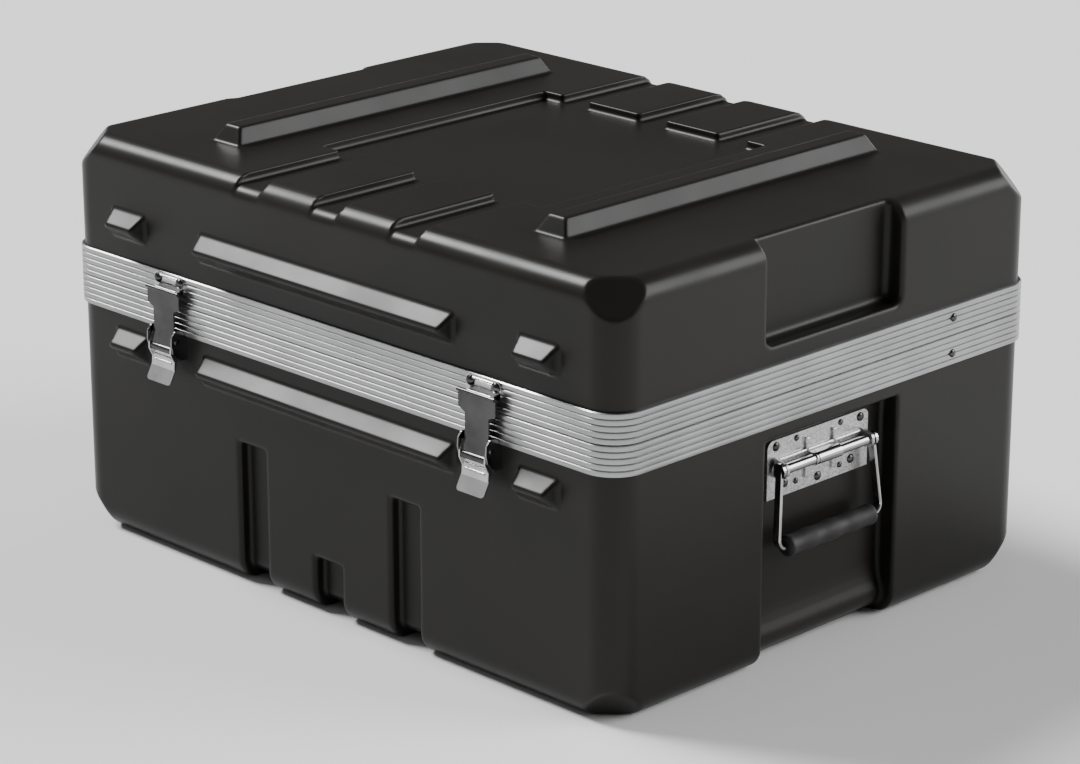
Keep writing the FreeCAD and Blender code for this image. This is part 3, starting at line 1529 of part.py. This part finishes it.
def build_stays():
    low, high = stay_geometry()[:2]
    _, lower_x, upper_x = stay_planes()
    base_set = node("stay_base_rivets", solid("stay_base_set", compound(flipped([stay_rivet(low, lower_x)]))))
    lid_set = node("stay_lid_rivets", solid("stay_lid_set", compound(flipped([stay_rivet(high, upper_x)]))))
    pieces = {
        "lower_link": make_stay("lower_link", False),
        "upper_link": make_stay("upper_link", True),
        "elbow_pin": make_elbow_pin("elbow_pin"),
    }
    for piece, item in pieces.items():
        node(f"stay_right_{piece}", item)
        node(f"stay_left_{piece}", mirror(f"{piece}_left", item, X))
    return base_set, lid_set


def build_frame():
    """Rails, side plates, crossbars and shock mounts; gives back the screws in the floor."""
    rail_set = node("rack_rail_bolts", solid("rail_bolt_set", compound(rail_bolts())))
    frame_set = node("rack_frame_bolts", solid("frame_bolt_set", compound(frame_bolts())))
    mount_set = node("shock_mount_bolts", solid("mount_bolt_set", compound(mount_bolts())))
    floor_set = node("shock_mount_screws", solid("floor_screw_set", compound(floor_screws())))
    rail = cut("rail_drilled", make_rail("rail"), rail_set)
    side = make_side("side", group("side_bolts", rail_set, frame_set))
    node("rack_rail_right", rail)
    node("rack_rail_left", mirror("rail_left", rail, X))
    node("rack_side_right", side)
    node("rack_side_left", mirror("side_left", side, X))
    bar_bolts = group("bar_bolts", frame_set, mount_set)
    node("rack_crossbar_front", make_crossbar("bar_front", -1, bar_bolts))
    node("rack_crossbar_rear", make_crossbar("bar_rear", 1, bar_bolts))
    both = compound(mount_bolts() + floor_screws())
    plates = [plate.cut(both) for plate in mount_plates()]
    node("shock_mount_plates", solid("mount_plate_set", compound(plates)))
    for x, y in mount_places():
        where = ("front" if y < 0 else "rear") + ("_left" if x < 0 else "_right")
        node(f"shock_mount_{where}", solid(f"rubber_{where}", shock_mount(x, y, both)))
    return floor_set


def build_case():
    make_sheet()
    latch_base, latch_lid = build_latches()
    handles = build_handles()
    hinge_base, hinge_lid = build_hinges()
    stay_base, stay_lid = build_stays()
    floor = build_frame()
    base_rivets = group("base_fasteners", latch_base, handles, hinge_base, stay_base, floor)
    lid_rivets = group("lid_fasteners", latch_lid, hinge_lid, stay_lid)
    node("base_shell", cut("base_drilled", make_base_shell(), base_rivets))
    node("lid_shell", cut("lid_drilled", make_lid_shell(), lid_rivets))
    for part, sign, rivets in (("base", -1, base_rivets), ("lid", 1, lid_rivets)):
        band = ring(f"{part}_band", valance_profile(sign), 0)
        drilled = node(f"{part}_valance", cut(f"{part}_band_drilled", band, rivets))
        drilled.Refine = False
    node("valance_gasket", ring("gasket_band", gasket_profile(), 0))


def check_and_write():
    """Stops on any broken object or sub-part, and writes every sub-part."""
    DOC.recompute()
    for item in DOC.Objects:
        if {"Invalid", "Error"} & set(item.State):
            raise RuntimeError(f"{item.Label}: {item.State}")
    for item in NODES:
        if item.Shape.isNull() or not item.Shape.isValid():
            raise RuntimeError(f"{item.Label}: the shape is missing or not valid")
    os.makedirs("parts", exist_ok=True)
    for item in NODES:
        item.Shape.exportStep(f"parts/{item.Label}.step")


build_case()
check_and_write()
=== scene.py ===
"""Looks of the equipment rack case: materials, softened mouldings, floor, light and camera."""

import json
import math

import bpy
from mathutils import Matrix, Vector


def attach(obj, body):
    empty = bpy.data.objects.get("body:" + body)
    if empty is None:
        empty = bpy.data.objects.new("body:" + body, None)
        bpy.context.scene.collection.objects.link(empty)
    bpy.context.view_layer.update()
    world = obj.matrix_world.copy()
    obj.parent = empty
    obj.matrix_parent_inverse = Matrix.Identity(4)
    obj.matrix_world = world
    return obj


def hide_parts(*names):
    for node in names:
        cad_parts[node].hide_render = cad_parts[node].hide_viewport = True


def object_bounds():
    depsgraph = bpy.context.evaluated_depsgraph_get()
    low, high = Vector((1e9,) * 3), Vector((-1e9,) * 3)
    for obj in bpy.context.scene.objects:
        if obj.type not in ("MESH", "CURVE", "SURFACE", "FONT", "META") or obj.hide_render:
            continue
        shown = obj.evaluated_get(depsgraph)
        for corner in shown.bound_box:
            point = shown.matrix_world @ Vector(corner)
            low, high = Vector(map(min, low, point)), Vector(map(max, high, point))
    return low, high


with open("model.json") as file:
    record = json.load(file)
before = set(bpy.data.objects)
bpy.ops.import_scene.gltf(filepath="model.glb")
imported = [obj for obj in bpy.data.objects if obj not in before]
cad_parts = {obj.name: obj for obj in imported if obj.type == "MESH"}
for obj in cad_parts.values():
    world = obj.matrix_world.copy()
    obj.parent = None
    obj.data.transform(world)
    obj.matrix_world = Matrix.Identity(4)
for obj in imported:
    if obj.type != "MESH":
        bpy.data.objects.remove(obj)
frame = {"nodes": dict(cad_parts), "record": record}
cad_low, cad_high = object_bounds()
NODES = frame["nodes"]
BODY_OF = {node: body for body, nodes in frame["record"]["behaviour"]["bodies"].items() for node in nodes}

SHELLS = ("base_shell", "lid_shell")
# Remeshing of the shells: voxel in metres, passes of smoothing, share of the faces kept.
FINE = (0.0017, 3, 0.22)

# Half the floor's side, and how far it lies under the case, in metres.
FLOOR_HALF = 30
FLOOR_DROP = 0.0005

# Camera fitted to the photograph, in the frame's metres and in degrees and millimetres.
CAMERA_PLACE = (2.2202, -2.2133, 1.2222)
CAMERA_TURN = 45.149
CAMERA_DIP = 18.793
LENS = 119.6
SENSOR = 36
FAR_CLIP = 200

WORLD_LEVEL = 0.16
# Name, direction from the object to the light, strength, angular size in degrees.
SUNS = (
    ("key", (-0.67, -0.17, 0.72), 4.8, 22),
    ("side", (0.64, 0.62, 0.42), 2.85, 40),
    ("front", (-0.65, -0.64, 0.35), 0.1, 26),
    ("rim", (0.05, 0.95, 0.12), 1.1, 36),
)


# ---------------------------------------------------------------- materials


class Finish:
    """One node material. Texture methods give back a socket; colour, rough and bump give back the finish."""

    def __init__(self, name, **values):
        self.material = bpy.data.materials.new(name)
        self.material.use_nodes = True
        self.tree = self.material.node_tree
        self.shader = self.tree.nodes["Principled BSDF"]
        for socket, value in values.items():
            self.shader.inputs[socket.replace("_", " ")].default_value = value
        self.place = self.tree.nodes.new("ShaderNodeTexCoord").outputs["Object"]

    def link(self, output, target):
        self.tree.links.new(output, target)

    def add(self, kind, inputs=(), **settings):
        item = self.tree.nodes.new(kind)
        for key, value in settings.items():
            setattr(item, key, value)
        for key, value in dict(inputs).items():
            if isinstance(value, bpy.types.NodeSocket):
                self.link(value, item.inputs[key])
            else:
                item.inputs[key].default_value = value
        return item

    def scaled(self, scale):
        """Object coordinates, stretched along each axis."""
        return self.add("ShaderNodeMapping", {"Vector": self.place, "Scale": scale}).outputs["Vector"]

    def noise(self, scale, detail=3, stretch=(1, 1, 1), roughness=0.5):
        inputs = {"Vector": self.scaled(stretch), "Scale": scale, "Detail": detail, "Roughness": roughness}
        return self.add("ShaderNodeTexNoise", inputs).outputs["Fac"]

    def cells(self, scale):
        """Random colour of each cell of a Voronoi pattern."""
        return self.add("ShaderNodeTexVoronoi", {"Vector": self.place, "Scale": scale}).outputs["Color"]

    def spread(self, value, low, high, low_in=0.3, high_in=0.7):
        """Maps low_in to low and high_in to high, which suits a noise's middle values."""
        inputs = {"Value": value, "From Min": low_in, "From Max": high_in, "To Min": low, "To Max": high}
        return self.add("ShaderNodeMapRange", inputs).outputs["Result"]

    def blend(self, factor, first, second):
        """Mix of two colours, each a socket or a triple."""
        mix = self.add("ShaderNodeMix", data_type="RGBA")
        self.link(factor, mix.inputs["Factor"])
        for key, value in (("A", first), ("B", second)):
            socket = [s for s in mix.inputs if s.name == key and s.type == "RGBA"][0]
            if isinstance(value, bpy.types.NodeSocket):
                self.link(value, socket)
            else:
                socket.default_value = (*value, 1)
        return [s for s in mix.outputs if s.type == "RGBA"][0]

    def bump(self, *layers):
        """Layers are (height, strength, distance), the coarsest first."""
        normal = None
        for height, strength, distance in layers:
            inputs = {"Height": height, "Strength": strength, "Distance": distance}
            if normal:
                inputs["Normal"] = normal
            normal = self.add("ShaderNodeBump", inputs).outputs["Normal"]
        self.link(normal, self.shader.inputs["Normal"])
        return self

    def colour(self, socket):
        self.link(socket, self.shader.inputs["Base Color"])
        return self

    def rough(self, socket):
        self.link(socket, self.shader.inputs["Roughness"])
        return self


def grey(level, warm=0.0):
    """Grey that leans to red by warm, or to blue where warm is negative."""
    return level * (1 + warm), level, level * (1 - warm)


def moulded_plastic():
    """Charcoal polyethylene with a fine leather grain, faint flow marks and a few scuffs."""
    m = Finish("shell_plastic", Specular_IOR_Level=0.21)
    cloud = m.noise(5, 4)
    grain = m.noise(900, 2)
    orange_peel = m.noise(160, 2)
    scuffs = m.noise(26, 6, (1, 1, 0.25), 0.75)
    shade = m.blend(m.spread(cloud, 0, 1), grey(0.0065, 0.12), grey(0.0105, 0.12))
    worn = m.blend(m.spread(scuffs, 0, 0.5, 0.66, 0.8), shade, grey(0.025, 0.03))
    m.colour(worn)
    m.rough(m.spread(m.noise(11, 5), 0.32, 0.41))
    return m.bump((orange_peel, 0.1, 0.0004), (grain, 0.12, 0.00012)).material


def drawn_aluminium():
    """Satin extrusion with fine draw lines along its length."""
    m = Finish("valance_aluminium", Metallic=1.0)
    lines = m.noise(1, 3, (6, 6, 2600))
    soft_lines = m.noise(1, 2, (3, 3, 500))
    m.colour(m.blend(m.spread(m.noise(14, 4), 0, 1), grey(0.29, -0.01), grey(0.38, -0.01)))
    m.rough(m.spread(lines, 0.24, 0.36))
    return m.bump((soft_lines, 0.12, 0.0003), (lines, 0.1, 0.0001)).material


def plated(name, low, high, roughness):
    """Bright plate over pressed steel, with faint ripples."""
    m = Finish(name, Metallic=1.0)
    m.colour(m.blend(m.spread(m.noise(30, 4), 0, 1), grey(low), grey(high)))
    m.rough(m.spread(m.noise(140, 4), roughness * 0.7, roughness * 1.4))
    return m.bump((m.noise(60, 2), 0.12, 0.0004)).material


def zinc_plate(name):
    """Passivated zinc: small speckles of lighter and darker grey."""
    m = Finish(name, Metallic=1.0)
    speckle = m.add("ShaderNodeSeparateColor", {"Color": m.cells(900)}).outputs["Red"]
    fine = m.noise(520, 4, roughness=0.7)
    tone = m.add("ShaderNodeMath", {0: speckle, 1: fine}, operation="MULTIPLY").outputs["Value"]
    m.colour(m.blend(m.spread(tone, 0, 1, 0.05, 0.5), grey(0.3), grey(0.62)))
    m.rough(m.spread(speckle, 0.3, 0.46, 0, 1))
    return m.bump((fine, 0.12, 0.0002)).material


def powder_coat():
    """Near-black baked powder with a fine pebble."""
    m = Finish("rack_powder_coat")
    m.colour(m.blend(m.spread(m.noise(60, 3), 0, 1), grey(0.012), grey(0.02)))
    m.rough(m.spread(m.noise(300, 3), 0.38, 0.55))
    return m.bump((m.noise(700, 2), 0.25, 0.0002)).material


def moulded_rubber(name, level):
    """Matt rubber around the given grey."""
    m = Finish(name, Specular_IOR_Level=0.35)
    m.colour(m.blend(m.spread(m.noise(90, 4), 0, 1), grey(level * 0.8), grey(level * 1.3)))
    m.rough(m.spread(m.noise(60, 4), 0.5, 0.68))
    return m.bump((m.noise(500, 3), 0.3, 0.0002)).material


def paint_nodes():
    """Gives every CAD node the finish of its record slot, but the hasps a darkened copy of the latch plate:
    painted dark reflection.
    """
    finishes = {
        "shell_plastic": moulded_plastic(),
        "valance_aluminium": drawn_aluminium(),
        "latch_steel": plated("latch_plate", 0.4, 0.55, 0.16),
        "latch_bracket_steel": plated("latch_bracket_plate", 0.16, 0.26, 0.17),
        "handle_zinc": zinc_plate("handle_plate_zinc"),
        "bail_steel": plated("bail_plate", 0.34, 0.48, 0.12),
        "grip_rubber": moulded_rubber("grip_rubber", 0.012),
        "rivet_steel": plated("rivet_plate", 0.045, 0.1, 0.2),
        "gasket_rubber": moulded_rubber("gasket_sponge", 0.02),
        "rack_steel": powder_coat(),
        "stay_steel": zinc_plate("stay_zinc"),
        "bolt_steel": plated("bolt_zinc", 0.35, 0.55, 0.28),
        "mount_rubber": moulded_rubber("mount_rubber", 0.016),
    }
    # Hasps get a darker copy of the latch plate: painted dark reflection, standing in for the dark
    # surroundings the chrome mirrors.
    hasp = plated("hasp_plate_painted_dark_reflection", 0.05, 0.085, 0.14)
    for entry in frame["record"]["subparts"]:
        node = entry["node"]
        material = hasp if node.endswith("_hasp") else finishes[entry["material_slot"]]
        mesh = NODES[node].data
        mesh.materials.clear()
        mesh.materials.append(material)
    return finishes


# ---------------------------------------------------------------- softened mouldings


def soften_shell(node, material, voxel, passes, keep):
    """Stands a round-edged copy in for a shell: remeshed by voxel, smoothed in passes, thinned to keep."""
    draft = bpy.data.objects.new(f"{node}_draft", NODES[node].data.copy())
    bpy.context.scene.collection.objects.link(draft)
    remesh = draft.modifiers.new("remesh", "REMESH")
    remesh.mode = "VOXEL"
    remesh.voxel_size = voxel
    relax = draft.modifiers.new("relax", "SMOOTH")
    relax.factor = 0.5
    relax.iterations = passes
    thin = draft.modifiers.new("thin", "DECIMATE")
    thin.ratio = keep
    evaluated = draft.evaluated_get(bpy.context.evaluated_depsgraph_get())
    mesh = bpy.data.meshes.new_from_object(evaluated)
    bpy.data.objects.remove(draft)
    name = f"{node}_moulded"
    mesh.name = name
    mesh.shade_smooth()
    mesh.materials.clear()
    mesh.materials.append(material)
    piece = bpy.data.objects.new(name, mesh)
    bpy.context.scene.collection.objects.link(piece)
    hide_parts(node)
    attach(piece, BODY_OF[node])


# ---------------------------------------------------------------- floor, light and camera


def make_floor():
    """Plain pale square, just under the case."""
    level = cad_low.z - FLOOR_DROP
    signs = [(-1, -1), (1, -1), (1, 1), (-1, 1)]
    mesh = bpy.data.meshes.new("floor")
    mesh.from_pydata([(x * FLOOR_HALF, y * FLOOR_HALF, level) for x, y in signs], [], [(0, 1, 2, 3)])
    floor = bpy.data.objects.new("floor", mesh)
    bpy.context.scene.collection.objects.link(floor)
    m = Finish("floor", Roughness=0.9, Specular_IOR_Level=0.1)
    m.colour(m.blend(m.noise(2, 2), grey(0.86), grey(0.88)))
    mesh.materials.append(m.material)


def make_sun(name, towards, strength, degrees):
    """Soft distant light; towards is the direction from the object to the light."""
    lamp = bpy.data.lights.new(name, "SUN")
    lamp.energy = strength
    lamp.angle = math.radians(degrees)
    holder = bpy.data.objects.new(name, lamp)
    bpy.context.scene.collection.objects.link(holder)
    holder.rotation_mode = "QUATERNION"
    holder.rotation_quaternion = Vector(towards).to_track_quat("Z", "Y")


def make_world(level):
    """Even white surroundings."""
    world = bpy.data.worlds.new("studio")
    world.use_nodes = True
    background = world.node_tree.nodes["Background"]
    background.inputs["Color"].default_value = (1, 1, 1, 1)
    background.inputs["Strength"].default_value = level
    bpy.context.scene.world = world


def make_camera():
    """Looks down at the latch side and the right end, as the photograph does."""
    lens = bpy.data.cameras.new("camera")
    lens.sensor_width = SENSOR
    lens.lens = LENS
    lens.clip_end = FAR_CLIP
    camera = bpy.data.objects.new("camera", lens)
    bpy.context.scene.collection.objects.link(camera)
    camera.location = CAMERA_PLACE
    camera.rotation_euler = (math.radians(90 - CAMERA_DIP), 0, math.radians(CAMERA_TURN))
    bpy.context.scene.camera = camera


finishes = paint_nodes()
remeshing = FINE
for shell in SHELLS:
    soften_shell(shell, finishes["shell_plastic"], *remeshing)
make_floor()
make_world(WORLD_LEVEL)
for sun in SUNS:
    make_sun(*sun)
make_camera()
